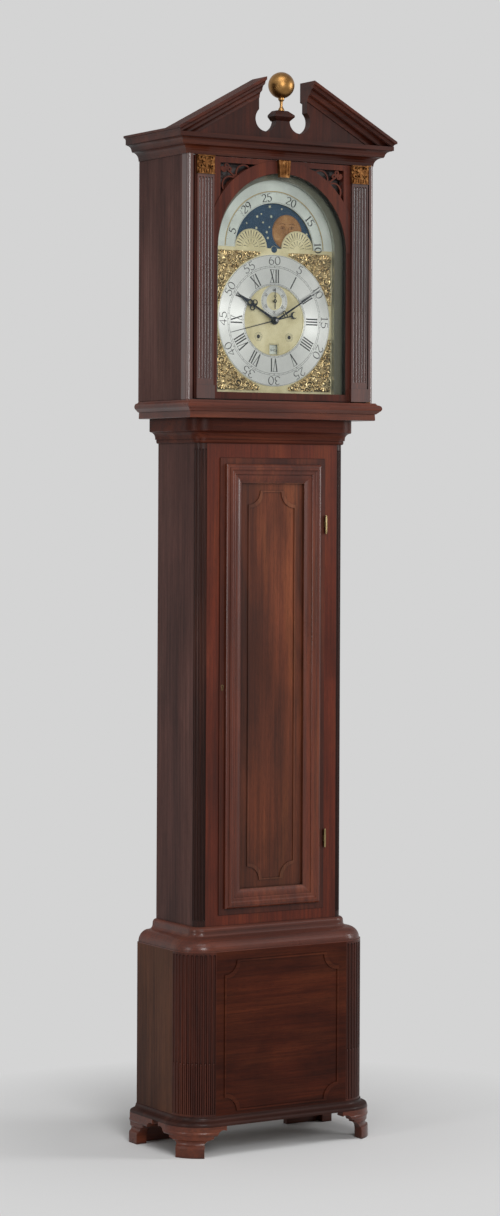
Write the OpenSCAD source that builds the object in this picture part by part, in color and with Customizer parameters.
// Longcase clock with an arched moon dial and a hood with a broken pediment.
// Z is up, the front looks along -Y, X runs to the viewer's right and the feet stand at Z = 0.
// A depth is always measured forward from the back plane of the case.

/* [Case] */
// Width of the base between its flat sides
base_w = 475; // [450:1:500]
// Depth of the base from the back plane to its front panel
base_d = 225; // [222:1:232]
// Radius of the round front corners of the base
corner_r = 69; // [64:1:76]
// Step from the base in to the waist on each side
set_in = 48; // [44:1:52]
// Step from the waist out to the hood on each side
hood_out = 52; // [48:1:58]
// Thickness of the carcase boards
board_t = 12; // [10:0.5:14]
// Height of the bracket feet
foot_h = 66; // [56:1:80]
// Height of the moulding on top of the feet
plinth_h = 20; // [18:1:24]
// Height of the base panel
base_h = 354; // [320:1:400]
// Height of the moulding between base and waist
base_top_h = 50; // [48:1:56]
// Height of the waist between its two mouldings
waist_h = 1054; // [1000:1:1100]
// Height of the cove under the hood
crown_h = 54; // [54:1:60]
// Height of the bottom rail of the hood
hood_rail_h = 39; // [38:1:44]
// Height of the hood from its bottom rail to the cornice
hood_h = 531; // [529:1:545]

/* [Trunk door] */
// Width of the stiles beside the trunk door
stile_w = 53.5; // [48:0.5:60]
// Height of the rail under the trunk door
door_low_rail = 23; // [18:1:40]
// Height of the rail over the trunk door, below the cove
door_top_rail = 32; // [20:1:44]
// Thickness of the trunk door
door_t = 20; // [18:0.5:22]
// Running gap around the trunk door
door_gap = 0.5; // [0.3:0.1:1]
// Flat border of the trunk door outside its moulding
door_border = 13; // [11:0.5:16]
// Width of the moulding planted on the trunk door
door_mould_w = 42; // [40:0.5:46]

/* [Hood] */
// Step from the front of the waist out to the front of the hood's posts
hood_fwd = 36; // [35:0.5:39]
// Step from the front of the hood back to its frieze
frieze_step = 8; // [7:0.5:9]
// Half width of the glazed opening in the hood door
glass_half_w = 167; // [160:0.5:168]
// Width of the corner posts of the hood
hood_post_w = 13.5; // [12:0.5:15]
// Thickness of the hood door frame
hood_door_t = 18; // [16:0.5:18]
// Distance of the pilaster axes in from the edges of the hood door
pilaster_in = 25; // [25:1:29]
// Width of the fluted pilasters
pilaster_w = 42; // [36:1:42]
// How far the pilasters stand in front of the door
pilaster_t = 6; // [5:0.5:8]
// Number of flutes in each pilaster
pilaster_flutes = 5; // [4:1:6]
// Projection of the crown of the cornice in front of the frieze
cornice_out = 40.5; // [39:0.5:42]
// Height of the level cornice
cornice_h = 43; // [41:0.5:46]
// Height of the crown that lies on it
crown_top_h = 11; // [10:0.5:13]
// Slope of the pediment in degrees
pediment_slope = 28.8; // [27:0.1:30]
// Half width of the gap between the two rakes
pediment_gap = 62; // [58:1:66]
// Radius of the gilt ball
ball_r = 29; // [22:1:32]

/* [Dial] */
// Width of the dial plate
dial_w = 305; // [303:1:307]
// Height of the dial centre over the hood's bottom rail
dial_up = 179; // [178:1:182]
// Height of the arch centre over the dial centre
arch_up = 157; // [155:1:160]
// Depth of the dial plate's back face
dial_d = 176; // [175:0.5:177]
// Thickness of the dial plate
dial_t = 2.5; // [2:0.1:3]
// Outer radius of the chapter ring
chapter_r = 145; // [140:1:147]
// Width of the chapter ring
chapter_w = 67.5; // [60:0.5:67.5]
// Radius of the sky window in the arch
sky_r = 102; // [98:1:102]
// Radius of the two engraved humps in the arch
hump_r = 41; // [38:1:42]
// Distance of the winding holes from the centre line
wind_x = 40; // [39:0.5:42]
// Distance of the winding holes below the centre
wind_drop = 36; // [35:0.5:38]
// Distance of the seconds arbor above the centre
seconds_up = 43; // [43:0.5:43.5]

/* [Movement] */
// Width of the movement plates
plate_w = 168; // [166:1:174]
// Height of the movement plates
plate_h = 184; // [182:1:190]
// Thickness of the movement plates
plate_t = 3; // [2.5:0.1:3.5]
// Depth of the back plate's rear face
plate_d = 86; // [85:0.5:87]
// Depth of the front plate's rear face
front_plate_d = 150; // [149:0.5:151]
// Radial clearance of the pivots in their holes
run_gap = 0.05; // [0.03:0.01:0.08]
// Radius of the winding barrels
barrel_r = 25; // [23:0.5:25]
// Radius of the pendulum bob
bob_r = 70; // [50:1:80]
// Length of the pendulum from its bending line to the bob's centre
pendulum_l = 994; // [960:1:1020]
// Radius of the weights
weight_r = 30; // [25:1:31]
// Height of the weights
weight_h = 190; // [150:1:200]
// Height of the weight bottoms over the floor when the clock has run down
weight_rest = 150; // [120:1:200]

/* [Hidden] */
$fn = 64;

// Finishes of the plain model
mahogany = [0.36, 0.16, 0.10];
veneer = [0.45, 0.22, 0.13];
oak = [0.50, 0.40, 0.30];
gilt = [0.78, 0.62, 0.34];
brass = [0.80, 0.70, 0.42];
steel = [0.45, 0.47, 0.50];
blued = [0.10, 0.12, 0.25];
silvered = [0.82, 0.83, 0.80];
gut = [0.75, 0.65, 0.45];

// Heights of the case from the floor up
base_z = foot_h + plinth_h;
base_top = base_z + base_h;
waist_z = base_top + base_top_h;
waist_top = waist_z + waist_h;
hood_z = waist_top + crown_h;
hood_body_z = hood_z + hood_rail_h;
cornice_z = hood_body_z + hood_h;
fillet_z = cornice_z + cornice_h;

// Plan sizes of the case
waist_w = base_w - 2 * set_in;
waist_d = base_d - set_in;
hood_d = waist_d + hood_fwd;
frieze_d = hood_d - frieze_step;
overall_d = frieze_d + cornice_out;
back_y = overall_d / 2;
waist_r = corner_r - set_in;
door_w = waist_w - 2 * stile_w;
hood_w = waist_w + 2 * hood_out;
post_in = hood_w / 2 - hood_post_w;
hood_door_gap = 3;
hood_door_half_w = post_in - hood_door_gap;
pilaster_x = hood_door_half_w - pilaster_in;
corner_x = base_w / 2 - corner_r;
corner_d = base_d - corner_r;
frame_t = 18;
slip = 0.3;
reach = 400;

// Turns a depth in front of the back plane into a Y coordinate
function yd(d) = back_y - d;

// Points on an arc from angle a0 to a1
function arc(x, y, r, a0, a1, n = 8) =
    [for (i = [0 : n]) [x + r * cos(a0 + (a1 - a0) * i / n), y + r * sin(a0 + (a1 - a0) * i / n)]];

// Quarter hollow of radius r that starts at [x, z] and runs up, then out
function hollow(x, z, r) = arc(x + r, z, r, 180, 90, 5);

// The same points from last to first
function backwards(pts) = [for (i = [len(pts) - 1 : -1 : 0]) pts[i]];

// Draws an outline in the X-Z plane and gives it thickness t forward from depth d
module upright(d, t) {
    translate([0, yd(d), 0]) rotate([90, 0, 0]) linear_extrude(t) children();
}

// Round bar along Y between two depths
module bar_y(x, z, d0, d1, r) {
    translate([x, yd(d0), z]) rotate([90, 0, 0]) cylinder(h = d1 - d0, r = r);
}

// Box given by its sides, its two depths and its two heights
module board(x0, x1, d0, d1, z0, z1) {
    translate([x0, yd(d1), z0]) cube([x1 - x0, d1 - d0, z1 - z0]);
}

// The same thing on the left and on the right
module both() {
    children();
    mirror([1, 0, 0]) children();
}

// Sweeps a section of [projection, height] points round the front and sides of a round-cornered box
module swept_ring(w, d, r, z, pts) {
    translate([0, 0, z]) {
        translate([w / 2 - r, yd(d), 0]) rotate([90, 0, -90]) linear_extrude(w - 2 * r) polygon(pts);
        both() {
            translate([w / 2, yd(0), 0]) rotate([90, 0, 0]) linear_extrude(d - r) polygon(pts);
            translate([w / 2 - r, yd(d - r), 0]) rotate([0, 0, -90])
                rotate_extrude(angle = 90) translate([r, 0]) polygon(pts);
        }
    }
}

// Solid block whose front and sides carry one moulded edge that meets in mitres
module mitred_block(w, d, z, edge) {
    far = max([for (p = edge) p[0]]);
    low = edge[0][1];
    high = edge[len(edge) - 1][1];
    front = concat([[0, low]], [for (p = edge) [d + p[0], p[1]]], [[0, high]]);
    right = [for (p = edge) [w / 2 + p[0], p[1]]];
    left = [for (p = backwards(edge)) [-w / 2 - p[0], p[1]]];
    translate([0, 0, z]) intersection() {
        translate([w / 2 + far, yd(0), 0]) rotate([90, 0, -90]) linear_extrude(w + 2 * far) polygon(front);
        translate([0, yd(0), 0]) rotate([90, 0, 0]) linear_extrude(d + far) polygon(concat(right, left));
    }
}

// Raised block on a w by h field whose edge rises by [inset, lift] points
module raised_block(w, h, edge) {
    intersection() {
        linear_extrude(h, center = true) polygon(concat(
            [for (p = edge) [-w / 2 + p[0], -p[1]]], [for (p = backwards(edge)) [w / 2 - p[0], -p[1]]]));
        rotate([0, -90, 0]) linear_extrude(w, center = true) polygon(concat(
            [for (p = edge) [-h / 2 + p[0], -p[1]]], [for (p = backwards(edge)) [h / 2 - p[0], -p[1]]]));
    }
}

// Rectangle with a quarter circle cut out of each corner
module notched(w, h, r) {
    difference() {
        square([w, h], center = true);
        for (x = [-1, 1], y = [-1, 1]) translate([x * w / 2, y * h / 2]) circle(r);
    }
}

// Raised string line that follows the notched outline
module bead_line(w, h, r, width) {
    difference() {
        notched(w, h, r);
        notched(w - 2 * width, h - 2 * width, r + width);
    }
}

// Rectangle with a round head: half width, foot height and springing height
module arched(half, z0, z1) {
    translate([-half, z0]) square([2 * half, z1 - z0]);
    intersection() {
        translate([0, z1]) circle(half, $fn = 128);
        translate([-half, z0]) square([2 * half, z1 - z0 + half]);
    }
}

// Backboard, base and feet

floor_z = base_z + 4;
backboard_gap = 0.5;

module backboard() {
    color(oak) upright(0, board_t) union() {
        translate([-base_w / 2 + board_t, foot_h]) square([base_w - 2 * board_t, base_top - foot_h]);
        translate([-waist_w / 2 + board_t, base_top - 1])
            square([waist_w - 2 * board_t, hood_body_z + 1 - base_top + 1]);
        translate([-hood_w / 2 + board_t + backboard_gap, hood_body_z + 1])
            square([hood_w - 2 * board_t - 2 * backboard_gap, hood_h - 10]);
    }
}

base_bead_in = 21;
base_bead_low = 6;
base_bead_w = 4;
base_bead_t = 2;
base_bead_r = 31;

module base_front_panel() {
    color(mahogany) {
        board(-corner_x, corner_x, base_d - board_t, base_d, base_z, base_top);
        upright(base_d, base_bead_t) translate([0, (base_z + base_top) / 2 - base_bead_low])
            bead_line(2 * (corner_x - base_bead_in), base_h - 26, base_bead_r, base_bead_w);
    }
}

module base_side_panels() {
    color(mahogany) both()
        board(base_w / 2 - board_t, base_w / 2, 0, corner_d, foot_h, base_top);
}

base_flutes = 11;
waist_flutes = 5;
flute_share = 0.36;
reed_share = 0.73;
stop_reed_h = 111;

// Rod with a round head: cuts a flute, or lies in one as a stop reed
module round_headed(r, h, round_foot) {
    rotate_extrude($fn = 32) polygon(concat(round_foot ? arc(0, r, r, -90, 0, 3) : [[0, 0], [r, 0]],
        arc(0, h - r, r, 0, 90, 3)));
}

// Plan of a quarter column on its own axis
module quarter(r, inner) {
    difference() {
        intersection() {
            circle(r, $fn = 96);
            translate([0, -r]) square(r);
        }
        circle(inner);
    }
}

// Quarter column with flutes between its plain ends and reeds in the lower part of the flutes
module corner_column(r, inner, flutes, z0, z1, plain, reeds) {
    pitch = 90 / flutes;
    flute_r = r * pitch * PI / 180 * flute_share;
    reed_r = flute_r * reed_share;
    translate([corner_x, yd(corner_d), z0]) {
        difference() {
            linear_extrude(z1 - z0) quarter(r, inner);
            for (i = [0 : flutes - 1]) rotate(-pitch * (i + 0.5)) translate([r, 0, plain])
                round_headed(flute_r, z1 - z0 - 2 * plain, reeds == 0);
        }
        if (reeds > 0) for (i = [0 : flutes - 1]) rotate(-pitch * (i + 0.5))
            translate([r - reed_r, 0, plain - 1]) round_headed(reed_r, reeds + 1, false);
    }
}

column_wall = 20;
column_plain = 4;
waist_column_plain = 12;

module base_corner_columns() {
    color(mahogany) both() corner_column(corner_r, corner_r - column_wall, base_flutes, base_z, base_top,
        column_plain, stop_reed_h);
}

module base_floor() {
    color(oak) board(-base_w / 2 + board_t, base_w / 2 - board_t, board_t, corner_d, floor_z, floor_z + 12);
}

// Section of the plinth moulding from its foot to its top
plinth_section = concat([[-board_t, 0], [17, 0]], arc(9, 2, 8, 0, 45, 3), arc(12, 18, 10, 225, 180, 4),
    [[0, plinth_h], [-board_t, plinth_h]]);

module plinth_moulding() {
    color(mahogany) difference() {
        swept_ring(base_w, base_d, corner_r, foot_h, plinth_section);
        board(-base_w / 2 + board_t, base_w / 2 - board_t, -1, corner_d, foot_h - 1, base_z + 1);
        board(-base_w / 2, base_w / 2, -1, corner_d, foot_h - 1, base_z + 1);
        board(-corner_x, corner_x, corner_d, base_d, foot_h - 1, base_z + 1);
    }
}

// Ogee section of the feet, from the floor up
foot_pad = 19;
foot_section = concat([[-6, 0], [foot_pad, 0], [foot_pad, foot_h - 46]], arc(foot_pad + 1, foot_h - 34, 7, 255, 125, 6),
    arc(foot_pad - 7.5, foot_h - 15, 7, -45, 30, 4), [[17.5, foot_h - 8], [17.5, foot_h], [-6, foot_h]]);
wing_in = 87;
side_wing = 100;
foot_toe = 34;

// Bracket of one foot seen square on: x runs from its outer corner inwards
module bracket_side(length) {
    difference() {
        translate([-30, 0]) square([length + 30, foot_h]);
        translate([foot_toe + 22, -1]) square([length, foot_h - 19]);
        translate([foot_toe + 22, 18]) circle(22);
        translate([foot_toe, -1]) square([length, 19]);
        translate([length - 8, foot_h - 24]) circle(16);
    }
}

module bracket_feet() {
    color(mahogany) both() {
        // Front foot
        intersection() {
            swept_ring(base_w, base_d, corner_r, 0, foot_section);
            upright(0, reach) translate([base_w / 2, 0]) mirror([1, 0]) bracket_side(wing_in);
            translate([0, yd(base_d), 0]) rotate([90, 0, 90]) linear_extrude(reach) bracket_side(side_wing);
        }
        // Rear foot
        intersection() {
            translate([base_w / 2, yd(0), 0]) rotate([90, 0, 0]) linear_extrude(side_wing) polygon(foot_section);
            translate([0, yd(0), 0]) rotate([90, 0, -90]) mirror([0, 0, 1])
                linear_extrude(reach) bracket_side(side_wing);
        }
        board(base_w / 2 - 90, base_w / 2 - 6, 0, 14, 0, foot_h);
    }
}

// Section of the moulding between base and waist; the first number is the projection from the waist
base_top_section = concat([[-2, 0], [set_in, 0], [set_in, 2]], arc(19.5, 2, 26, 0, 80, 8),
    [[18.5, base_top_h - 22]], arc(18.5, base_top_h - 13, 9, 270, 180, 4), [[9.3, base_top_h - 9]],
    arc(0.3, base_top_h - 9, 9, 0, 90, 5), [[-2, base_top_h]]);

module base_top_moulding() {
    color(mahogany) difference() {
        swept_ring(waist_w, waist_d, waist_r, base_top, base_top_section);
        board(-waist_w / 2, waist_w / 2, -1, corner_d, base_top - 1, waist_z + 1);
        board(-corner_x, corner_x, 0, waist_d, base_top - 1, waist_z + 1);
    }
}

// Waist

cheek_top = hood_body_z + dial_up - plate_h / 2 - 20;
cheek_d = 150;
side_sunk = 60;

module waist_sides() {
    color(mahogany) both() {
        board(waist_w / 2 - board_t, waist_w / 2, board_t, corner_d, base_top - side_sunk, base_top);
        board(waist_w / 2 - board_t, waist_w / 2, 0, corner_d, base_top, hood_z);
        board(waist_w / 2 - board_t, waist_w / 2, 0, cheek_d, hood_z, hood_body_z);
        board(waist_w / 2 - board_t, waist_w / 2, board_t, cheek_d, hood_body_z, cheek_top);
    }
}

door_z0 = waist_z + door_low_rail;
door_z1 = waist_top - door_top_rail;
door_open_half = door_w / 2 + door_gap;

module waist_front_frame() {
    color(mahogany) upright(waist_d - frame_t, frame_t) difference() {
        translate([-corner_x, base_top]) square([2 * corner_x, hood_z - base_top]);
        translate([-door_open_half, door_z0 - door_gap])
            square([2 * door_open_half, door_z1 - door_z0 + 2 * door_gap]);
    }
}

module waist_corner_columns() {
    color(mahogany) both() corner_column(waist_r, 0, waist_flutes, waist_z, waist_top, waist_column_plain, 0);
    color(mahogany) both() translate([corner_x, yd(corner_d), base_top])
        linear_extrude(base_top_h) quarter(waist_r - 2, 0);
}

crown_section = concat([[-2, 0], [1.5, 0]], arc(1.5, 4, 4, -90, 0, 3), [[5.5, 9], [8.5, 9], [8.5, 12]],
    arc(22, 12, 13.5, 180, 95, 6), [[23, 27], [23, crown_h], [-2, crown_h]]);

module waist_crown_moulding() {
    color(mahogany) difference() {
        swept_ring(waist_w, waist_d, waist_r, waist_top, crown_section);
        board(-waist_w / 2, waist_w / 2, -1, corner_d, waist_top - 1, hood_z + 1);
        board(-corner_x, corner_x, 0, waist_d, waist_top - 1, hood_z + 1);
    }
}

pendulum_d = 65;
slot_half = 15;
seat_z = cheek_top;
seat_t = 20;
seat_d0 = 30;
seat_d1 = 165;
line_hole_r = 4;

module seatboard() {
    color(oak) translate([0, 0, seat_z]) linear_extrude(seat_t) difference() {
        translate([-waist_w / 2, yd(seat_d1)]) square([waist_w, seat_d1 - seat_d0]);
        translate([-slot_half, yd(pendulum_d + slot_half)]) square([2 * slot_half, pendulum_d + slot_half]);
        for (x = [line_x, weight_x + pulley_r, -line_x, -weight_x - pulley_r])
            translate([x, yd(weight_d)]) circle(line_hole_r);
    }
}

// Trunk hinges: the pin and outer knuckles belong to the case, the middle knuckle to the door
hinge_r = 2.6;
hinge_pin_r = 1.2;
hinge_x = door_w / 2 + 1;
hinge_d = waist_d + 6;
hinge_l = 36;
knob_r = 2.2;
hinge_up = [door_z0 + 155, door_z1 - 146];
leaf_in = 0.8;
leaf_t = 2.2;

module trunk_hinges() {
    color(brass) for (z = hinge_up) translate([hinge_x, yd(hinge_d), z - hinge_l / 2]) {
        for (s = [0, 1]) translate([0, 0, s * 2 * hinge_l / 3]) {
            cylinder(h = hinge_l / 3, r = hinge_r, $fn = 24);
            translate([leaf_in, 0, 0]) cube([leaf_t, hinge_d - waist_d, hinge_l / 3]);
        }
        // Pin with a small knob at both ends
        cylinder(h = hinge_l, r = hinge_pin_r, $fn = 24);
        for (z = [-knob_r / 2, hinge_l + knob_r / 2]) translate([0, 0, z]) sphere(knob_r, $fn = 24);
    }
}

// Trunk door

door_front = waist_d + 2;
door_panel_in = door_border + door_mould_w;
panel_sunk = 5;
trunk_panel_w = door_w - 2 * door_panel_in;
trunk_panel_h = door_z1 - door_z0 - 2 * door_panel_in;
string_in = 19.5;
string_end_in = 16;
string_r = 31;
string_w = 3.5;
string_t = 2;

module trunk_door() {
    mid = (door_z0 + door_z1) / 2;
    color(veneer) {
        difference() {
            upright(door_front - door_t, door_t) translate([-door_w / 2, door_z0])
                square([door_w, door_z1 - door_z0]);
            upright(door_front - panel_sunk, door_t) translate([0, mid])
                square([trunk_panel_w, trunk_panel_h], center = true);
        }
        upright(door_front - panel_sunk, string_t) translate([0, mid])
            bead_line(trunk_panel_w - 2 * string_in, trunk_panel_h - 2 * string_end_in, string_r, string_w);
    }
}

// Bolection moulding of the trunk door: its outer and its inner slope as [inset, lift] points
bolection_h = 11;
bolection_out = concat([[0, 0], [0, 3]], arc(6.5, 3, 6.5, 180, 90, 4),
    [[7.5, 9.5], [7.5, bolection_h], [16, bolection_h]]);
roll_r = 27.2;
bolection_in = concat([[door_mould_w, -1], [door_mould_w - 1, 0]],
    arc(door_mould_w - 16, 4.5 - roll_r, roll_r, 56.6, 90, 5), [[door_mould_w - 17, 4.5]],
    arc(door_mould_w - 21.4, 4.5, 3.4, 0, 90, 4), [[door_mould_w - 24.5, 7.9]],
    arc(door_mould_w - 24.5, 13.9, 6, 270, 214, 4), [[door_mould_w - 29.5, bolection_h + 1]]);

module trunk_door_moulding() {
    w = door_w - 2 * door_border;
    h = door_z1 - door_z0 - 2 * door_border;
    color(mahogany) translate([0, yd(door_front), (door_z0 + door_z1) / 2]) difference() {
        raised_block(w, h, bolection_out);
        raised_block(w, h, bolection_in);
    }
}

lock_z = (door_z0 + door_z1) / 2 + 0.5;

module trunk_brasswork() {
    color(brass) {
        // Thin lining of the keyhole
        upright(door_front, 0.6) translate([-door_w / 2 + door_border / 2, lock_z]) difference() {
            union() {
                circle(3.4);
                translate([-2.2, -8.5]) square([4.4, 8.5]);
            }
            circle(2.3);
            translate([-1.2, -7.5]) square([2.4, 7.5]);
        }
        // Middle knuckles of the two hinges
        for (z = hinge_up) translate([hinge_x, yd(hinge_d), z - hinge_l / 6 + 0.2]) difference() {
            union() {
                cylinder(h = hinge_l / 3 - 0.4, r = hinge_r, $fn = 24);
                translate([-leaf_in - leaf_t, 0, 0]) cube([leaf_t, hinge_d - door_front, hinge_l / 3 - 0.4]);
            }
            translate([0, 0, -1]) cylinder(h = hinge_l, r = hinge_pin_r + run_gap, $fn = 24);
        }
    }
}

// Hood

rail_in = waist_w / 2 + 2.5;
rail_back_d = 170;
hood_rail_edge = concat([[-4, 0]], arc(-4, 3, 3, -90, -30, 3), [[-2, 14]], [[0.6, 15]],
    arc(2, 27, 8, -60, 60, 7), [[2, 35], [-1, hood_rail_h]]);

module hood_base_moulding() {
    color(mahogany) difference() {
        mitred_block(hood_w, hood_d + 12, hood_z, hood_rail_edge);
        board(-rail_in, rail_in, -1, rail_back_d, hood_z - 1, hood_body_z + 1);
    }
}

side_d = 187;

module hood_sides() {
    color(mahogany) both()
        board(hood_w / 2 - board_t, hood_w / 2, 0, side_d, hood_body_z, fillet_z);
}

post_round = 8;
mask_d = dial_d + dial_t + 1.5;
mask_t = 10;
mask_half = dial_w / 2 - 1;
dial_z = hood_body_z + dial_up;
arch_z = dial_z + arch_up;
dial_drop = 161;
dial_low = dial_z - dial_drop;
hood_pin_r = 1.5;
hood_pin_x = hood_door_half_w + hood_door_gap / 2;
hood_pin_d = hood_d + 4.5;
strap_t = 2;
strap_l = 36;
strap_eye = 3.2;
strap_lift = 0.15;

module hood_frame() {
    color(mahogany) {
        // Corner posts with round front edges
        both() translate([0, 0, hood_body_z]) linear_extrude(hood_h) difference() {
            translate([post_in, yd(hood_d)]) square([hood_w / 2 - post_in, hood_d - side_d]);
            translate([hood_w / 2 - post_round, yd(hood_d) - 1]) square([post_round + 1, post_round + 1]);
        }
        both() translate([hood_w / 2 - post_round, yd(hood_d - post_round), hood_body_z])
            rotate([0, 0, -90]) rotate_extrude(angle = 90) square([post_round, hood_h]);
        // Mask round the dial
        upright(mask_d, mask_t) difference() {
            translate([-hood_w / 2 + board_t, hood_body_z]) square([hood_w - 2 * board_t, hood_h]);
            arched(mask_half, dial_low, arch_z);
        }
    }
    // Pivot pins of the hood door
    color(brass) for (z = [hood_body_z, cornice_z - strap_t - 0.6])
        translate([hood_pin_x, yd(hood_pin_d), z]) cylinder(h = strap_t + 0.6, r = hood_pin_r, $fn = 24);
}

// Cornice section as [projection from the frieze, height over the cornice foot]: two hollows and a fillet
low_hollow = 17;
high_hollow = 12;
corona_out = 20;
fillet_out = cornice_out - 5.5;
cornice_edge = concat([[0, 0], [2, 0]], hollow(2, 2, low_hollow),
    [[low_hollow + 2, 21], [corona_out, 21]], hollow(corona_out, 21, high_hollow),
    [[corona_out + high_hollow, 34], [fillet_out, 34], [fillet_out, cornice_h]]);
// Section of the crown over the fillet
crown_edge = concat([[fillet_out, 0]], hollow(fillet_out, 1, cornice_out - fillet_out - 0.5),
    [[cornice_out, crown_top_h - 4], [cornice_out, crown_top_h]]);

rake_depth = 61;
rake_back_d = overall_d - rake_depth;

module hood_cornice() {
    color(mahogany) {
        difference() {
            mitred_block(hood_w, frieze_d, cornice_z, cornice_edge);
            board(-hood_w / 2, hood_w / 2, -1, frieze_d, cornice_z - 1, fillet_z + 1);
            both() board(hood_w / 2 - 1, hood_w / 2 + 0.001, -1, frieze_d, cornice_z - 1, fillet_z + 1);
        }
        // Crown along the sides
        both() translate([hood_w / 2, yd(0), fillet_z]) rotate([90, 0, 0]) linear_extrude(rake_back_d)
            polygon(concat([[-board_t, 0]], crown_edge, [[-board_t, crown_top_h]]));
    }
}

rake_h = 43;
rake_t = rake_h * cos(pediment_slope);
corner_top = fillet_z + crown_top_h;
crown_x = hood_w / 2 + cornice_out;

// Height of the rake's lower edge at a distance x from the centre line
function rake_low(x) = corner_top + (crown_x - x) * tan(pediment_slope) - rake_h;
// Where that edge meets the top of the cornice
rake_foot_x = crown_x - (fillet_z + rake_h - corner_top) / tan(pediment_slope);

lobe_x = 44;
lobe_z = cornice_z + 86.5;
lobe_r = 27;
neck_half = 17.5;
cap_z = cornice_z + 94;
cap_t = 14;
tympanum_t = 20;
tympanum_d = frieze_d + 8;
cap_edge = [[0, -9], [8, 0], [8, 4], [-3, cap_t]];

module pediment_board() {
    color(veneer) {
        difference() {
            upright(tympanum_d - tympanum_t, tympanum_t) difference() {
                union() for (s = [-1, 1]) polygon([[0, cornice_z], [s * hood_w / 2, cornice_z],
                    [s * hood_w / 2, fillet_z], [s * rake_foot_x, fillet_z],
                    [s * pediment_gap, rake_low(pediment_gap)], [s * neck_half, rake_low(pediment_gap)],
                    [s * neck_half, cap_z + 2], [0, cap_z + 2]]);
                for (s = [-1, 1]) {
                    translate([s * lobe_x, lobe_z]) circle(lobe_r);
                    translate([s * (neck_half + pediment_gap) / 2, lobe_z + 25])
                        square([pediment_gap - neck_half, 50], center = true);
                }
            }
            board(-reach, reach, frieze_d, reach, cornice_z - 1, fillet_z);
        }
        // Moulded block that carries the ball
        translate([0, 0, cap_z]) intersection() {
            mitred_block(2 * neck_half, tympanum_d, 0, cap_edge);
            board(-60, 60, tympanum_d - tympanum_t - 4, reach, -20, 20);
        }
    }
}

// Section of the raking moulding, square to its slope: three hollows between fillets
rake_edge = concat([[tympanum_d - frieze_d, 0], [10, 0]], hollow(10, 2, 9.5), [[19.5, 13], [21, 13]],
    hollow(21, 13, 10), [[31, 24.5], [33, 24.5]], hollow(33, 24.5, 6.5),
    [[cornice_out, 32], [cornice_out, rake_t]]);

module raking_mouldings() {
    back = cornice_out - rake_depth;
    color(mahogany) both() intersection() {
        translate([crown_x, yd(frieze_d), corner_top]) rotate([0, pediment_slope, 0])
            translate([60, 0, -rake_t]) rotate([90, 0, -90]) linear_extrude(reach)
            polygon(concat([[back, 0]], rake_edge, [[back, rake_t]]));
        upright(rake_back_d, rake_depth) polygon(concat([[pediment_gap, fillet_z]],
            [for (p = crown_edge) [hood_w / 2 + p[0], fillet_z + p[1]]],
            [[crown_x, fillet_z + 200], [pediment_gap, fillet_z + 200]]));
    }
}

ball_d = frieze_d;
stem_h = 28;
stem_r = 7;
stem_waist = 3.2;

module ball_finial() {
    color(gilt) translate([0, yd(ball_d), cap_z + cap_t]) rotate_extrude() difference() {
        union() {
            polygon(concat([[0, 0], [stem_r, 0], [stem_r, 1.5]], arc(stem_waist + 8, 11, 8, 225, 180, 4),
                arc(stem_waist + 8, 17, 8, 180, 125, 4), [[stem_r, stem_h], [0, stem_h + 4]]));
            translate([0, stem_h + ball_r - 1]) circle(ball_r, $fn = 96);
        }
        translate([-100, -1]) square([100, 200]);
    }
}

roof_t = 10;
roof_z = fillet_z - 18;

module hood_roof() {
    color(oak) board(-hood_w / 2 + board_t, hood_w / 2 - board_t, 0, mask_d, roof_z, roof_z + roof_t);
}

// Hood door

hood_door_z0 = hood_body_z + strap_t + 0.6;
hood_door_z1 = cornice_z - strap_t - 0.6;
glass_z0 = hood_body_z + 18;
glass_arch_drop = 198;
glass_spring = cornice_z - glass_arch_drop;
glass_front = hood_d - 12;
glass_t = 2;
rebate = 6;
arch_band = 28;
fret_in = 62;
fret_out = 160;
fret_low = 88;
fret_top = 15;
fret_bar = 3.6;
fret_arc = 17.5;
// Middles of the two arcs and of the joint and the leaf over them, from the middle of the arch
fret_arcs = [[134.5, 134.5], [99.5, 161]];
fret_node = [122.5, 154];
fret_leaf = [143, 170];

// The two corners over the arched opening
module fret_field() {
    difference() {
        translate([fret_in, cornice_z - fret_low]) square([fret_out - fret_in, fret_low - fret_top]);
        translate([0, glass_spring]) circle(glass_half_w + arch_band, $fn = 128);
    }
}

// Tracery of one corner: two arcs that spring from the arch, and a leaf of three lobes over their joint
module fret_tracery() {
    intersection() {
        fret_field();
        translate([0, glass_spring]) {
            for (at = fret_arcs) translate(at) difference() {
                circle(fret_arc + fret_bar);
                circle(fret_arc);
            }
            translate(fret_node) circle(5);
            translate(fret_leaf) {
                for (p = [[-7, -1], [6, -2], [0, 7]]) translate(p) difference() {
                    circle(6);
                    circle(2);
                }
                translate([10, 0]) circle(5.5);
            }
            hull() {
                translate(fret_leaf) circle(fret_bar / 2);
                translate(fret_node) circle(fret_bar / 2);
            }
        }
    }
}

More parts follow.
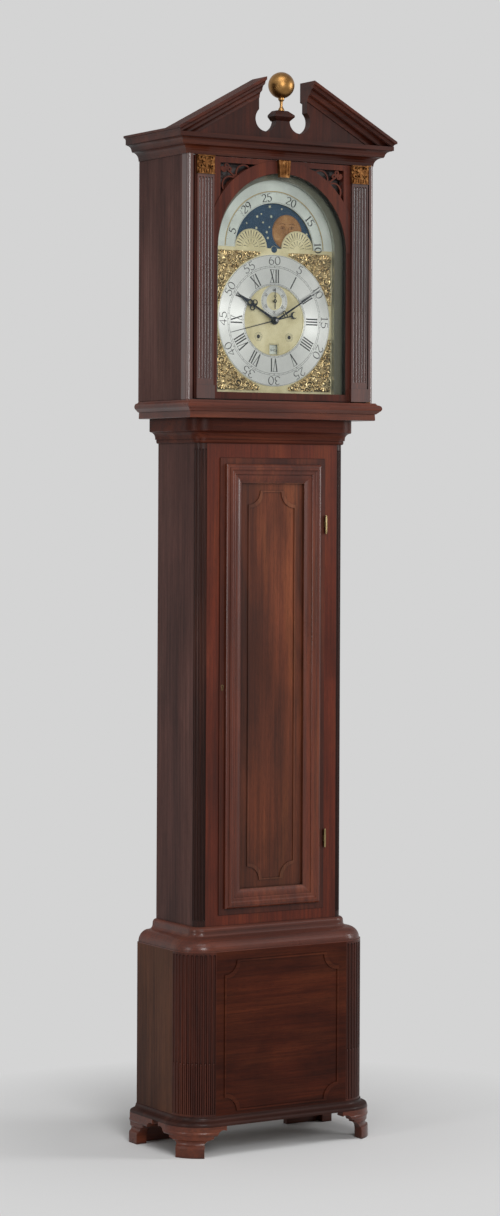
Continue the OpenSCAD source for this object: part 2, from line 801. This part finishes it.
module hood_door() {
    color(mahogany) {
        difference() {
            upright(hood_d - hood_door_t, hood_door_t) difference() {
                translate([-hood_door_half_w, hood_door_z0])
                    square([2 * hood_door_half_w, hood_door_z1 - hood_door_z0]);
                arched(glass_half_w, glass_z0, glass_spring);
                fret_field();
                mirror([1, 0]) fret_field();
            }
            upright(hood_d - hood_door_t - 1, glass_front - hood_d + hood_door_t + 1)
                arched(glass_half_w + rebate, glass_z0 - rebate, glass_spring);
        }
        // Raised band round the arch
        upright(hood_d, 1.5) difference() {
            translate([0, glass_spring]) circle(glass_half_w + arch_band, $fn = 128);
            translate([0, glass_spring]) circle(glass_half_w, $fn = 128);
            translate([-reach, -reach]) square([2 * reach, glass_spring + reach]);
            translate([-reach, cornice_z - 6]) square([2 * reach, 100]);
            translate([-keystone_half, glass_spring]) square([2 * keystone_half, reach]);
            for (s = [0, 1]) mirror([s, 0]) translate([pilaster_x - block_w / 2, glass_spring]) square(reach);
        }
        // Pierced frets
        for (s = [0, 1]) mirror([s, 0, 0]) upright(hood_d - 5, 3) fret_tracery();
    }
}

module hood_glass() {
    color([0.85, 0.92, 0.92, 0.35]) upright(glass_front - glass_t, glass_t)
        arched(glass_half_w + rebate - 0.5, glass_z0 - rebate + 0.5, glass_spring);
}

block_w = 46;
block_t = 9;
block_h = 29;
capital_w = 44;
capital_h = 43;
capital_t = 9;
pilaster_z0 = hood_door_z0 + block_h;
pilaster_z1 = cornice_z - capital_h;
pilaster_reeds = 160;

pilaster_foot = 14;
pilaster_neck = 6;

// Pilaster with flutes between its plain ends and reeds in their lower part; it faces +Y here
module fluted_pilaster(h) {
    pitch = (pilaster_w - 5) / pilaster_flutes;
    flute_r = pitch * flute_share;
    reed_r = flute_r * reed_share;
    across = [for (i = [0 : pilaster_flutes - 1]) (i + 0.5 - pilaster_flutes / 2) * pitch];
    difference() {
        translate([-pilaster_w / 2, 0, 0]) cube([pilaster_w, pilaster_t, h]);
        for (x = across) translate([x, pilaster_t, pilaster_foot])
            round_headed(flute_r, h - pilaster_foot - pilaster_neck, false);
    }
    for (x = across) translate([x, pilaster_t - reed_r, pilaster_foot - 1])
        round_headed(reed_r, pilaster_reeds + 1, false);
}

module hood_pilasters() {
    color(mahogany) both() translate([pilaster_x, yd(hood_d), 0]) mirror([0, 1, 0]) {
        translate([0, 0, pilaster_z0]) fluted_pilaster(pilaster_z1 - pilaster_z0);
        translate([-block_w / 2, 0, hood_door_z0]) cube([block_w, block_t, block_h]);
    }
}

keystone_h = 40;
keystone_half = 15;

carving_t = 3;
leaf_h = 11;
leaves = 6;
scroll_r = 5.5;
scroll_eye = 2.4;
flower_r = 7.5;
flute_of_key = 2.6;

// Carving of a capital round its middle: a flower, four scrolls, and a row of upright leaves below
module capital_carving(w, h) {
    leaf_w = (w - 5) / leaves;
    translate([0, leaf_h / 2]) {
        circle(5);
        for (a = [30 : 60 : 330]) rotate(a) translate([flower_r, 0]) circle(3.2, $fn = 24);
        for (x = [-1, 1], z = [-1, 1]) translate([x * (w / 2 - 7), z * ((h - leaf_h) / 2 - 7)]) difference() {
            circle(scroll_r, $fn = 32);
            translate([-1.5 * x, 1.5 * z]) circle(scroll_eye, $fn = 24);
        }
    }
    for (i = [0 : leaves - 1]) translate([(i + 0.5 - leaves / 2) * leaf_w, -h / 2]) {
        translate([-leaf_w * 0.37, 0]) square([leaf_w * 0.74, leaf_h - leaf_w / 2]);
        translate([0, leaf_h - leaf_w / 2]) circle(leaf_w * 0.37, $fn = 24);
    }
    translate([-w / 2, h / 2 - 2]) square([w, 2]);
    translate([-w / 2, -h / 2]) square([w, 2]);
}

module gilt_ornaments() {
    color(gilt) {
        both() upright(hood_d, capital_t - carving_t) translate([pilaster_x - capital_w / 2, pilaster_z1])
            square([capital_w, hood_door_z1 - pilaster_z1]);
        both() upright(hood_d + capital_t - carving_t, carving_t)
            translate([pilaster_x, (pilaster_z1 + hood_door_z1) / 2])
            capital_carving(capital_w, hood_door_z1 - pilaster_z1);
        // Keystone over the arch with three flutes
        difference() {
            upright(hood_d, capital_t) polygon([[-keystone_half * 0.8, cornice_z - keystone_h],
                [keystone_half * 0.8, cornice_z - keystone_h], [keystone_half, hood_door_z1],
                [-keystone_half, hood_door_z1]]);
            for (x = [-1, 0, 1]) translate([x * keystone_half / 2, yd(hood_d + capital_t), cornice_z - keystone_h + 5])
                cylinder(h = keystone_h, r = flute_of_key, $fn = 24);
        }
        // Pivot straps of the door
        for (z = [hood_door_z0 - strap_t - strap_lift, hood_door_z1 + strap_lift]) translate([0, 0, z])
            linear_extrude(strap_t) difference() {
            union() {
                translate([hood_door_half_w - strap_l, yd(hood_d - 2)]) square([strap_l - 2, 12]);
                translate([hood_door_half_w - 8, yd(hood_pin_d + 2)]) square([9.5, 6]);
                translate([hood_pin_x, yd(hood_pin_d)]) circle(strap_eye, $fn = 32);
            }
            translate([hood_pin_x, yd(hood_pin_d)]) circle(hood_pin_r + run_gap, $fn = 24);
        }
    }
}

// Dial

dial_front = dial_d + dial_t;
ring_t = 2;
hump_x = 60;
stud_r = 3;
pipe_r = 6.8;
wind_hole_r = 4.5;
seconds_r = 34;
seconds_w = 14;
date_axis_drop = 97;
date_low = 74;
date_high = 53;
disc_t = 1.2;
disc_d = dial_d - 5;

module dial_plate() {
    color(brass) {
        upright(dial_d, dial_t) difference() {
            arched(dial_w / 2, dial_low, arch_z);
            // Sky window between the humps
            difference() {
                intersection() {
                    translate([0, arch_z]) circle(sky_r, $fn = 96);
                    translate([-sky_r, arch_z + 2]) square([2 * sky_r, sky_r]);
                }
                for (s = [-1, 1]) translate([s * hump_x, arch_z + 2]) circle(hump_r);
                translate([0, arch_z]) circle(8);
            }
            translate([0, dial_z]) circle(pipe_r + run_gap);
            translate([0, dial_z + seconds_up]) circle(2);
            for (s = [-1, 1]) translate([s * wind_x, dial_z - wind_drop]) circle(wind_hole_r);
            translate([-11, dial_z - date_low]) square([22, date_low - date_high]);
        }
        // Studs for the moon disc and the date disc
        bar_y(0, arch_z, disc_d - 2, dial_d, stud_r);
        bar_y(0, dial_z - date_axis_drop, disc_d - 2, dial_d, stud_r);
    }
}

module dial_rings() {
    color(silvered) {
        upright(dial_front, ring_t) translate([0, dial_z]) difference() {
            circle(chapter_r, $fn = 128);
            circle(chapter_r - chapter_w, $fn = 128);
        }
        upright(dial_front, ring_t * 0.7) translate([0, dial_z + seconds_up]) difference() {
            circle(seconds_r);
            circle(seconds_r - seconds_w);
        }
    }
}

module arch_rings() {
    color(silvered) upright(dial_front, 1.2) translate([0, arch_z]) intersection() {
        difference() {
            circle(dial_w / 2 - 1, $fn = 128);
            circle(sky_r, $fn = 128);
        }
        translate([-reach, 2]) square([2 * reach, reach]);
    }
}

// Leafy scroll casting for a corner of the dial, drawn for the upper right one
module spandrel() {
    translate([125, 130]) circle(13);
    translate([138, 143]) circle(9);
    for (s = [0, 1]) mirror([s, -s]) {
        for (k = [0 : 4]) rotate(45 - 6 - 6.2 * k) translate([176 - 3.6 * k, 0]) circle(8.5 - 0.9 * k, $fn = 24);
        translate([139, 108]) difference() {
            circle(8);
            circle(4);
        }
    }
}

module corner_spandrels() {
    color(gilt) upright(dial_front, 3) intersection() {
        for (x = [0, 1], y = [0, 1]) translate([0, dial_z]) mirror([x, 0]) mirror([0, y]) difference() {
            spandrel();
            circle(chapter_r + 1.5, $fn = 128);
        }
        translate([-dial_w / 2 + 3, dial_low + 3]) square([dial_w - 6, arch_z - dial_low - 8]);
    }
}

// Moon disc with a fine toothed rim and date disc

moon_disc_r = arch_up - seconds_up - 5;
moon_teeth = 118;

module moon_disc() {
    color([0.2, 0.3, 0.45]) upright(disc_d, disc_t) translate([0, arch_z]) difference() {
        polygon([for (i = [0 : moon_teeth - 1], k = [0, 1])
            let (a = 360 * (i + 0.5 * k) / moon_teeth) (moon_disc_r - 1.8 * k) * [cos(a), sin(a)]]);
        circle(stud_r + run_gap);
    }
}

date_disc_r = 44;

module date_disc() {
    color(silvered) upright(disc_d, disc_t) translate([0, dial_z - date_axis_drop]) difference() {
        circle(date_disc_r);
        circle(stud_r + run_gap);
    }
}

// Going train: places and modules follow from the dial's holes and the tooth counts

great_teeth = 96;
centre_leaves = 8;
centre_teeth = 60;
third_leaves = 8;
third_teeth = 56;
escape_leaves = 7;
escape_teeth = 30;
strike_teeth = 84;
pin_leaves = 8;
cannon_teeth = 40;
minute_leaves = 6;
hour_teeth = 72;

centre_at = [0, 0];
going_at = [wind_x, -wind_drop];
strike_at = [-wind_x, -wind_drop];
third_at = [14.2, 25.2];
escape_at = [0, seconds_up];
pin_at = [-36, 17];
minute_at = [0, -36];
pallet_at = [0, seconds_up + 27.5];
hammer_at = [-62, 52];

// Module of a pair of wheels from their distance and tooth counts
function pair_module(a, b, n1, n2) = 2 * norm(a - b) / (n1 + n2);
// Direction from one arbor to another, in degrees
function toward(a, b) = atan2(b[1] - a[1], b[0] - a[0]);

going_m = pair_module(going_at, centre_at, great_teeth, centre_leaves);
centre_m = pair_module(centre_at, third_at, centre_teeth, third_leaves);
third_m = pair_module(third_at, escape_at, third_teeth, escape_leaves);
strike_m = pair_module(strike_at, pin_at, strike_teeth, pin_leaves);
cannon_m = pair_module(centre_at, minute_at, cannon_teeth, cannon_teeth);
hour_m = pair_module(centre_at, minute_at, hour_teeth, minute_leaves);

// Toothed outline; one tooth points at the angle given
module toothed(teeth, m, addendum, root_w, tip_w, at) {
    r = teeth * m / 2;
    step = 360 / teeth;
    polygon([for (i = [0 : teeth - 1], k = [[-1.25, -root_w], [addendum, -tip_w], [addendum, tip_w], [-1.25, root_w]])
        let (a = at + (i + k[1]) * step) (r + k[0] * m) * [cos(a), sin(a)]]);
}

// Crossed-out wheel with slim pointed teeth
module wheel_outline(teeth, m, at, bore, rim, spokes) {
    r = teeth * m / 2;
    inner = r - 1.25 * m - rim;
    hub = bore + 4;
    difference() {
        toothed(teeth, m, 0.8, 0.25, 0.08, at);
        if (inner > hub + 3) difference() {
            circle(inner);
            circle(hub);
            for (i = [0 : spokes - 1]) rotate(360 * i / spokes) translate([0, -1.6]) square([inner + 1, 3.2]);
        }
        circle(bore);
    }
}

module pinion_outline(leaves, m, at) {
    toothed(leaves, m, 0.6, 0.17, 0.1, at + 180 / leaves);
}

// Moves a drawing to an arbor
module on(at) {
    translate([at[0], dial_z + at[1]]) children();
}

// Round bar on an arbor's axis
module arbor(at, d0, d1, r) {
    bar_y(at[0], dial_z + at[1], d0, d1, r);
}

plate_gap_d0 = plate_d + plate_t;
plate_front = front_plate_d + plate_t;
arbor_r = 1.5;
pivot_r = 1;
centre_arbor_r = 2.5;
barrel_arbor_r = 3;
shake = 0.4;
small_arbors = [third_at, pin_at, hammer_at];
cock_d0 = 72;
cock_t = 4;

module movement_plates() {
    color(brass) {
        for (front = [0, 1]) upright(front ? front_plate_d : plate_d, plate_t) difference() {
            translate([-plate_w / 2, seat_z + seat_t]) square([plate_w, plate_h]);
            for (at = small_arbors) on(at) circle(pivot_r + run_gap, $fn = 24);
            for (at = [going_at, strike_at]) on(at) circle(barrel_arbor_r + run_gap, $fn = 32);
            on(centre_at) circle(centre_arbor_r + run_gap, $fn = 32);
            on(escape_at) circle(front ? arbor_r + run_gap : pivot_r + run_gap, $fn = 24);
            on(pallet_at) circle(front ? pivot_r + run_gap : 7, $fn = 32);
            if (front) on(minute_at) circle(pivot_r + run_gap, $fn = 24);
        }
        // Back cock that carries the pallet arbor and the pendulum
        difference() {
            union() {
                upright(cock_d0, cock_t) on(pallet_at) translate([-30, -8]) square([60, 24]);
                for (s = [-1, 1]) board(s * 25 - 5, s * 25 + 5, cock_d0 + cock_t, plate_d,
                    dial_z + pallet_at[1] - 8, dial_z + pallet_at[1] + 16);
                arbor(pallet_at, pendulum_d - 4, cock_d0, pivot_r + 0.5);
                arbor(pallet_at, pendulum_d - 6, pendulum_d - 4, 4);
            }
            arbor(pallet_at, cock_d0 + 1.5, plate_d, pivot_r + run_gap);
        }
    }
}

pillar_r = 5;
pillar_at = [[-76, -84], [76, -84], [-76, 84], [76, 84], [0, -84]];
dial_foot_at = [[-66, 62], [66, 62], [-66, -84], [66, -84]];

module plate_pillars() {
    color(brass) {
        for (at = pillar_at) on_plate_bar(at, plate_gap_d0, front_plate_d, pillar_r);
        for (at = dial_foot_at) on_plate_bar(at, plate_front, dial_d, 3);
        // Bar across the plates that carries the bell
        board(-6, 6, plate_gap_d0, front_plate_d, seat_z + seat_t + plate_h - 6, seat_z + seat_t + plate_h);
    }
}

module on_plate_bar(at, d0, d1, r) {
    bar_y(at[0], dial_z + at[1], d0, d1, r);
}

bell_r = 42;
bell_h = 34;
bell_t = 2;
bell_d = 118;
bell_mouth = seat_z + seat_t + plate_h + 16;

module bell() {
    color(silvered) translate([0, yd(bell_d), bell_mouth]) {
        rotate_extrude() difference() {
            polygon(concat([[0, bell_h]], arc(0, 0, 1, 90, 0, 12) * [[bell_r, 0], [0, bell_h]], [[bell_r - bell_t, 0]],
                arc(0, 0, 1, 0, 90, 12) * [[bell_r - bell_t, 0], [0, bell_h - bell_t]]));
            translate([-1, 0]) square([3.5, bell_h + 1]);
        }
    }
    color(steel) translate([0, yd(bell_d), bell_mouth - 16]) {
        cylinder(h = 16 + bell_h - bell_t - 1, r = 3.5, $fn = 24);
        translate([0, 0, 16 + bell_h - bell_t - 1]) cylinder(h = 8, r = 2.4, $fn = 24);
        translate([0, 0, 16 + bell_h + 0.2]) cylinder(h = 4, r = 5, $fn = 24);
    }
}

great_d = 139.5;
great_t = 2.5;
centre_wheel_d = 97;
small_wheel_t = 2;
third_d = 120;
escape_d = 108;
cannon_d = plate_front + 2;
hour_d = cannon_d + 5;
hand_pipe_d = 189;

module centre_wheel() {
    color(brass) {
        difference() {
            upright(centre_wheel_d, small_wheel_t) on(centre_at)
                wheel_outline(centre_teeth, centre_m, toward(centre_at, third_at), 1.9, 4, 4);
        }
        // Cannon pinion with its long pipe
        upright(cannon_d, 2) on(centre_at) difference() {
            toothed(cannon_teeth, cannon_m, 0.8, 0.25, 0.08, toward(centre_at, minute_at));
            circle(centre_arbor_r);
        }
        upright(cannon_d + 2, hand_pipe_d - cannon_d - 2) on(centre_at) difference() {
            circle(3.6, $fn = 32);
            circle(centre_arbor_r, $fn = 32);
        }
    }
    color(steel) {
        arbor(centre_at, plate_d, plate_gap_d0 + shake, centre_arbor_r);
        arbor(centre_at, plate_gap_d0 + shake, great_d - 1, centre_arbor_r - 0.6);
        upright(great_d - 1, great_t + 1) on(centre_at)
            pinion_outline(centre_leaves, going_m, toward(centre_at, going_at));
        arbor(centre_at, great_d + great_t, hand_pipe_d, centre_arbor_r);
    }
}

module third_wheel() {
    color(brass) upright(third_d, small_wheel_t) on(third_at)
        wheel_outline(third_teeth, third_m, toward(third_at, escape_at), arbor_r, 3.5, 4);
    color(steel) {
        upright(centre_wheel_d - 1, small_wheel_t + 2) on(third_at)
            pinion_outline(third_leaves, centre_m, toward(third_at, centre_at));
        arbor(third_at, centre_wheel_d + small_wheel_t + 1, front_plate_d - shake, arbor_r);
        arbor(third_at, plate_gap_d0 + shake, centre_wheel_d - 1, arbor_r);
        arbor(third_at, plate_d + 0.2, plate_gap_d0 + shake, pivot_r);
        arbor(third_at, front_plate_d - shake, plate_front - 0.2, pivot_r);
    }
}

escape_r = 18.5;

module escape_wheel() {
    color(brass) upright(escape_d, small_wheel_t) on(escape_at) difference() {
        polygon([for (i = [0 : escape_teeth - 1], k = [[0, 15], [4.5, escape_r], [5.2, escape_r], [6, 15]])
            let (a = 360 * i / escape_teeth + k[0]) k[1] * [cos(a), sin(a)]]);
        difference() {
            circle(12);
            circle(5);
            for (a = [0 : 90 : 270]) rotate(a) translate([0, -1.2]) square([13, 2.4]);
        }
        circle(arbor_r);
    }
    color(steel) {
        arbor(escape_at, plate_d + 0.2, plate_gap_d0 + shake, pivot_r);
        arbor(escape_at, plate_gap_d0 + shake, third_d - 1, arbor_r);
        upright(third_d - 1, small_wheel_t + 2) on(escape_at)
            pinion_outline(escape_leaves, third_m, toward(escape_at, third_at));
        arbor(escape_at, third_d + small_wheel_t + 1, 184, arbor_r - 0.1);
    }
}

module going_great_wheel() {
    color(brass) upright(great_d, great_t) on(going_at)
        wheel_outline(great_teeth, going_m, toward(going_at, centre_at), barrel_arbor_r + run_gap, 6, 4);
}

strike_great_d = 144;

module strike_great_wheel() {
    color(brass) upright(strike_great_d, great_t) on(strike_at)
        wheel_outline(strike_teeth, strike_m, toward(strike_at, pin_at), barrel_arbor_r + run_gap, 6, 4);
}

barrel_d0 = 103;
barrel_d1 = 136;
square_end = dial_front - 1;

// Winding barrel with flanges, line grooves and a squared winding arbor
module barrel(at, flange_end) {
    color(brass) translate([at[0], yd(barrel_d0), dial_z + at[1]]) rotate([90, 0, 0]) rotate_extrude()
        polygon(concat([[barrel_arbor_r, 0], [barrel_r + 3, 0], [barrel_r + 3, 2]],
            [for (i = [0 : 8], k = [0, 1]) [barrel_r - 0.8 * k, 2.5 + (i + 0.5 * k) * (barrel_d1 - barrel_d0 - 5) / 9]],
            [[barrel_r, barrel_d1 - barrel_d0 - 2.5], [barrel_r + 3, barrel_d1 - barrel_d0 - 2],
            [barrel_r + 3, barrel_d1 - barrel_d0], [barrel_arbor_r, barrel_d1 - barrel_d0]]));
    color(brass) translate([at[0], yd(barrel_d1), dial_z + at[1]]) rotate([90, 0, 0]) difference() {
        linear_extrude(flange_end - barrel_d1) polygon([for (i = [0 : 23], k = [0, 1])
            let (a = 15 * i + 13 * k) (14 + 2 * k) * [cos(a), sin(a)]]);
        translate([0, 0, -1]) cylinder(h = 20, r = barrel_arbor_r);
    }
    color(steel) {
        arbor(at, plate_d, plate_front + 1, barrel_arbor_r);
        upright(plate_front + 1, square_end - plate_front - 1) on(at) square(4.2, center = true);
    }
}

module going_barrel() {
    barrel(going_at, great_d - 0.3);
}

module strike_barrel() {
    barrel(strike_at, strike_great_d - 0.3);
}

pin_d = 125;
pin_circle = 20;

module pin_wheel() {
    color(brass) upright(pin_d, small_wheel_t) on(pin_at) difference() {
        toothed(64, 0.72, 0.8, 0.25, 0.08, 0);
        for (a = [22.5 : 45 : 337.5]) rotate(a) translate([12, 0]) circle(3.4, $fn = 24);
        circle(arbor_r);
    }
    color(steel) {
        for (a = [0 : 45 : 315])
            arbor(pin_at + pin_circle * [cos(a), sin(a)], pin_d - 4, pin_d, 1.2);
        upright(strike_great_d - 1, great_t + 1.5) on(pin_at)
            pinion_outline(pin_leaves, strike_m, toward(pin_at, strike_at));
        arbor(pin_at, plate_gap_d0 + shake, strike_great_d - 1, arbor_r);
        arbor(pin_at, plate_d + 0.2, plate_gap_d0 + shake, pivot_r);
        arbor(pin_at, strike_great_d + great_t + 0.5, plate_front - 0.2, pivot_r);
    }
}

hammer_d = 121;
hammer_head_z = bell_mouth + 5 - dial_z;

module hammer() {
    color(steel) {
        arbor(hammer_at, plate_gap_d0 + shake, front_plate_d - shake, 2);
        arbor(hammer_at, plate_d + 0.2, plate_gap_d0 + shake, pivot_r);
        arbor(hammer_at, front_plate_d - shake, plate_front - 0.2, pivot_r);
        // Rod up to the head and tail down to the pins
        upright(hammer_d, 3) difference() {
            union() {
                translate([0, dial_z]) polygon([[-63.5, 52], [-60.5, 52], [-54, hammer_head_z], [-57, hammer_head_z]]);
                translate([0, dial_z]) polygon([[-63, 50], [-60, 53], [-49, 38], [-52, 36]]);
                on(hammer_at) circle(4, $fn = 32);
            }
            on(hammer_at) circle(2, $fn = 32);
        }
        translate([-58, yd(hammer_d + 1.5), dial_z + hammer_head_z]) rotate([0, 90, 0])
            cylinder(h = 58 - bell_r - 2.5, r = 6, $fn = 32);
    }
}

module hour_wheel() {
    color(brass) {
        upright(hour_d, 2) on(centre_at)
            wheel_outline(hour_teeth, hour_m, toward(centre_at, minute_at), 3.65, 4, 4);
        upright(hour_d + 2, hour_hand_d + 1 - hour_d - 2) on(centre_at) difference() {
            circle(5.2, $fn = 32);
            circle(3.65, $fn = 32);
        }
    }
}

module minute_wheel() {
    color(brass) upright(cannon_d, 2) on(minute_at)
        toothed(cannon_teeth, cannon_m, 0.8, 0.25, 0.08, toward(minute_at, centre_at) + 180 / cannon_teeth);
    color(steel) {
        upright(cannon_d + 2, 6) on(minute_at)
            pinion_outline(minute_leaves, hour_m, toward(minute_at, centre_at));
        arbor(minute_at, front_plate_d + 0.2, cannon_d, pivot_r);
    }
}

// Pallets, crutch and pendulum, which all swing about the pallet arbor

crutch_d = 78;
crutch_l = 110;
rod_r = 3;

module pallets() {
    color(steel) {
        arbor(pallet_at, cock_d0 + 1.8, crutch_d, pivot_r);
        arbor(pallet_at, crutch_d, front_plate_d - shake, arbor_r);
        arbor(pallet_at, front_plate_d - shake, plate_front - 0.2, pivot_r);
        // Anchor over the escape wheel
        upright(escape_d - 0.5, 3) on(pallet_at) difference() {
            union() {
                circle(5);
                for (s = [-1, 1]) polygon([[0, 4], [s * 14, -3], [s * 20, -13], [s * 15.6, -13.5], [s * 12, -6], [0, -4]]);
            }
            circle(arbor_r);
        }
        // Crutch with its fork
        upright(crutch_d, 2) on(pallet_at) difference() {
            union() {
                circle(4, $fn = 32);
                translate([-1.5, -crutch_l]) square([3, crutch_l]);
                translate([-rod_r - 2.3, -crutch_l - 3]) square([2 * rod_r + 4.6, 5]);
            }
            circle(arbor_r, $fn = 32);
        }
        for (s = [-1, 1]) board(s * (rod_r + 1.3) - 1, s * (rod_r + 1.3) + 1, pendulum_d - 6, crutch_d,
            dial_z + pallet_at[1] - crutch_l - 3, dial_z + pallet_at[1] - crutch_l + 2);
    }
}

bob_z = dial_z + pallet_at[1] - pendulum_l;
bob_half_t = 14;
bob_hole_r = 3.4;

module pendulum_rod() {
    color(steel) {
        // Eye on the cock's pin, then the suspension spring and the rod
        upright(pendulum_d - 3, 6) on(pallet_at) difference() {
            union() {
                circle(5, $fn = 32);
                translate([-3, -22]) square([6, 20]);
            }
            circle(pivot_r + 0.5 + run_gap, $fn = 32);
        }
        translate([0, yd(pendulum_d), bob_z - bob_r - 28])
            cylinder(h = pendulum_l + bob_r + 28 - 22, r = rod_r);
    }
    // Rating nut under the bob
    color(brass) translate([0, yd(pendulum_d), bob_z - bob_r - 12]) difference() {
        cylinder(h = 7, r = 9);
        translate([0, 0, -1]) cylinder(h = 9, r = rod_r);
    }
}

module pendulum_bob() {
    edge_t = 3;
    lens_r = (bob_r * bob_r + pow(bob_half_t - edge_t, 2)) / (2 * (bob_half_t - edge_t));
    color(brass) difference() {
        translate([0, yd(pendulum_d), bob_z]) rotate([90, 0, 0]) rotate_extrude() polygon(concat(
            [[0, -bob_half_t]],
            [for (i = [1 : 10]) let (x = bob_r * i / 10) [x, -(sqrt(lens_r * lens_r - x * x) - lens_r + bob_half_t)]],
            [for (i = [10 : -1 : 1]) let (x = bob_r * i / 10) [x, sqrt(lens_r * lens_r - x * x) - lens_r + bob_half_t]],
            [[0, bob_half_t]]));
        translate([0, yd(pendulum_d), bob_z - bob_r - 1]) cylinder(h = 2 * bob_r + 2, r = bob_hole_r);
    }
    // Sleeve that rests on the rating nut
    color(brass) translate([0, yd(pendulum_d), bob_z - bob_r - 5]) difference() {
        cylinder(h = 5.5, r = 6);
        translate([0, 0, -1]) cylinder(h = 9, r = bob_hole_r);
    }
}

// Weights on their pulleys; the line comes off the outer side of each barrel

pulley_r = 24;
line_r = 0.8;
line_x = wind_x + barrel_r + line_r;
weight_x = line_x + pulley_r;
weight_d = 120;
hook_h = 26;
pulley_z = weight_rest + weight_h + hook_h + pulley_r;

module weight() {
    translate([weight_x, yd(weight_d), 0]) {
        // Brass shell with rounded caps
        color(brass) translate([0, 0, weight_rest]) rotate_extrude() polygon(concat([[0, 0]],
            arc(weight_r - 4, 4, 4, -90, 0, 4), arc(weight_r - 4, weight_h - 4, 4, 0, 90, 4), [[0, weight_h]]));
        // Stirrup between the weight and its pulley
        color(steel) {
            translate([0, 0, weight_rest + weight_h]) cylinder(h = hook_h - 6, r = 2.5, $fn = 24);
            for (s = [-1, 1]) translate([-4, s * 8 - 1.5, weight_rest + weight_h + hook_h - 6]) cube([8, 3, 6 + pulley_r + 5]);
            translate([-4, -9.5, weight_rest + weight_h + hook_h - 9]) cube([8, 19, 3]);
            translate([0, 9.5, pulley_z]) rotate([90, 0, 0]) cylinder(h = 19, r = 2, $fn = 24);
        }
        // Pulley with its groove
        color(brass) translate([0, 4.5, pulley_z]) rotate([90, 0, 0]) rotate_extrude()
            polygon([[2, 0], [pulley_r + 3, 0], [pulley_r - line_r - 0.3, 3], [pulley_r - line_r - 0.3, 6], [pulley_r + 3, 9], [2, 9]]);
    }
}

module going_weight() {
    weight();
}

module strike_weight() {
    mirror([1, 0, 0]) weight();
}

barrel_z = dial_z - wind_drop;

module weight_line() {
    color(gut) {
        translate([line_x, yd(weight_d), pulley_z]) cylinder(h = barrel_z - pulley_z, r = line_r, $fn = 16);
        translate([weight_x + pulley_r, yd(weight_d), pulley_z]) cylinder(h = seat_z + seat_t - pulley_z, r = line_r, $fn = 16);
        translate([weight_x + pulley_r, yd(weight_d), seat_z + seat_t]) cylinder(h = 3, r = line_hole_r + 2, $fn = 24);
    }
}

module going_line() {
    weight_line();
}

module strike_line() {
    mirror([1, 0, 0]) weight_line();
}

// Hands, drawn pointing up and turned to ten past ten

hand_t = 1.2;
calendar_d = 181.4;
hour_hand_d = 184.6;
minute_hand_d = 188;
hour_angle = 300;
minute_angle = 58;
calendar_angle = 255.5;

// Turns a drawing made pointing up to a clock angle, clockwise from the top
module hand(d, angle, at) {
    upright(d, hand_t) on(at) rotate(-angle) children();
}

module hour_hand() {
    color(blued) hand(hour_hand_d, hour_angle, centre_at) difference() {
        union() {
            circle(8);
            polygon([[-3, 0], [3, 0], [2, 62], [-2, 62]]);
            for (s = [-1, 1]) translate([s * 6, 65]) circle(7, $fn = 32);
            translate([0, 76]) circle(7.5, $fn = 32);
            polygon([[-4, 81], [4, 81], [0.5, 115], [-0.5, 115]]);
        }
        for (s = [-1, 1]) translate([s * 7.5, 65]) circle(3.8, $fn = 24);
        translate([0, 76.5]) circle(4, $fn = 24);
        circle(5.2, $fn = 32);
    }
}

module minute_hand() {
    color(blued) hand(minute_hand_d, minute_angle, centre_at) difference() {
        union() {
            circle(6);
            polygon([[-2.2, 0], [2.2, 0], [1.8, 24], [-1.8, 24]]);
            for (s = [-1, 1]) translate([s * 4, 27]) circle(4.4, $fn = 32);
            polygon([[-2.2, 28], [2.2, 28], [0.4, 137], [-0.4, 137]]);
        }
        for (s = [-1, 1]) translate([s * 4, 27]) circle(2.6, $fn = 24);
        circle(3.6, $fn = 32);
    }
    color(blued) upright(minute_hand_d + hand_t, 3) on(centre_at) difference() {
        circle(5, $fn = 32);
        circle(centre_arbor_r, $fn = 32);
    }
}

module seconds_hand() {
    color(blued) hand(183, 0, escape_at) difference() {
        union() {
            circle(4);
            polygon([[-1, -17], [1, -17], [0.5, 28], [-0.5, 28]]);
            translate([0, 11]) circle(3, $fn = 24);
        }
        translate([0, 11]) circle(1.8, $fn = 24);
        circle(arbor_r - 0.1, $fn = 24);
    }
}

module calendar_hand() {
    color(blued) hand(calendar_d, calendar_angle, centre_at) difference() {
        union() {
            circle(9);
            polygon([[-1.3, -47], [1.3, -47], [0.5, 116], [-0.5, 116]]);
            translate([0, -52]) difference() {
                circle(8);
                translate([0, -3]) circle(6.2);
            }
        }
        circle(5.8, $fn = 32);
    }
    color(brass) upright(172, calendar_d - 172) on(centre_at) difference() {
        circle(pipe_r, $fn = 32);
        circle(5.25, $fn = 32);
    }
}

backboard();
base_front_panel();
base_side_panels();
base_corner_columns();
base_floor();
plinth_moulding();
bracket_feet();
base_top_moulding();
waist_sides();
waist_front_frame();
waist_corner_columns();
waist_crown_moulding();
seatboard();
trunk_hinges();
dial_plate();
dial_rings();
arch_rings();
corner_spandrels();
movement_plates();
plate_pillars();
bell();
centre_wheel();
minute_hand();
hour_wheel();
hour_hand();
minute_wheel();
third_wheel();
escape_wheel();
seconds_hand();
going_great_wheel();
going_barrel();
pallets();
pendulum_rod();
pendulum_bob();
strike_great_wheel();
strike_barrel();
pin_wheel();
hammer();
moon_disc();
date_disc();
calendar_hand();
going_weight();
strike_weight();
going_line();
strike_line();
hood_sides();
hood_frame();
hood_base_moulding();
hood_cornice();
pediment_board();
raking_mouldings();
ball_finial();
hood_roof();
hood_door();
hood_glass();
hood_pilasters();
gilt_ornaments();
trunk_door();
trunk_door_moulding();
trunk_brasswork();
